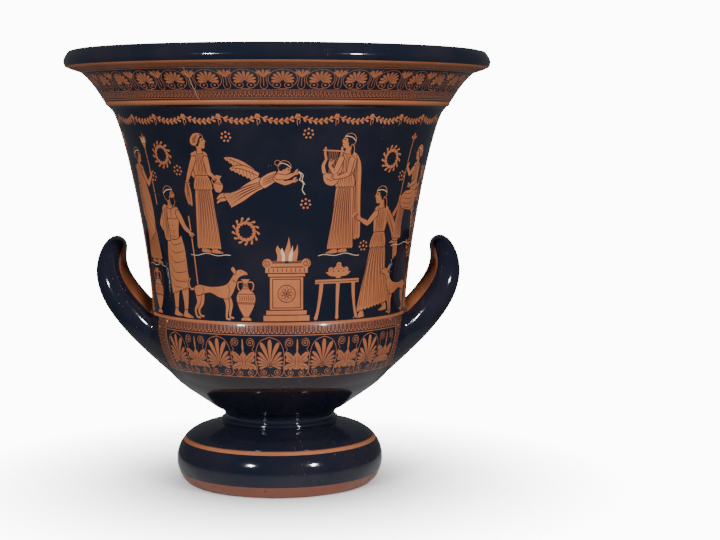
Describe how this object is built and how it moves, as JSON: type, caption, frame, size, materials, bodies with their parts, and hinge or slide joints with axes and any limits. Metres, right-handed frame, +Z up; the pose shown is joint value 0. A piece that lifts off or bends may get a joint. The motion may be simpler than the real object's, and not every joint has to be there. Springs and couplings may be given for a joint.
{
  "type": "greek calyx krater",
  "caption": "Wide mixing bowl of fired clay with a flaring mouth, an offset lower bowl, two upright loop handles and a disc foot.",
  "frame": {"origin": "centre of the resting face, under the foot", "axes": "+Z up the pot's axis; the painted fronts face -Y and +Y; the handles stand at -X and +X"},
  "size_m": [0.55, 0.55, 0.5603],
  "materials": {
    "fired_clay": "black gloss over orange fired clay"
  },
  "bodies": {
    "root": {"krater": "fired_clay"}
  },
  "joints": []
}
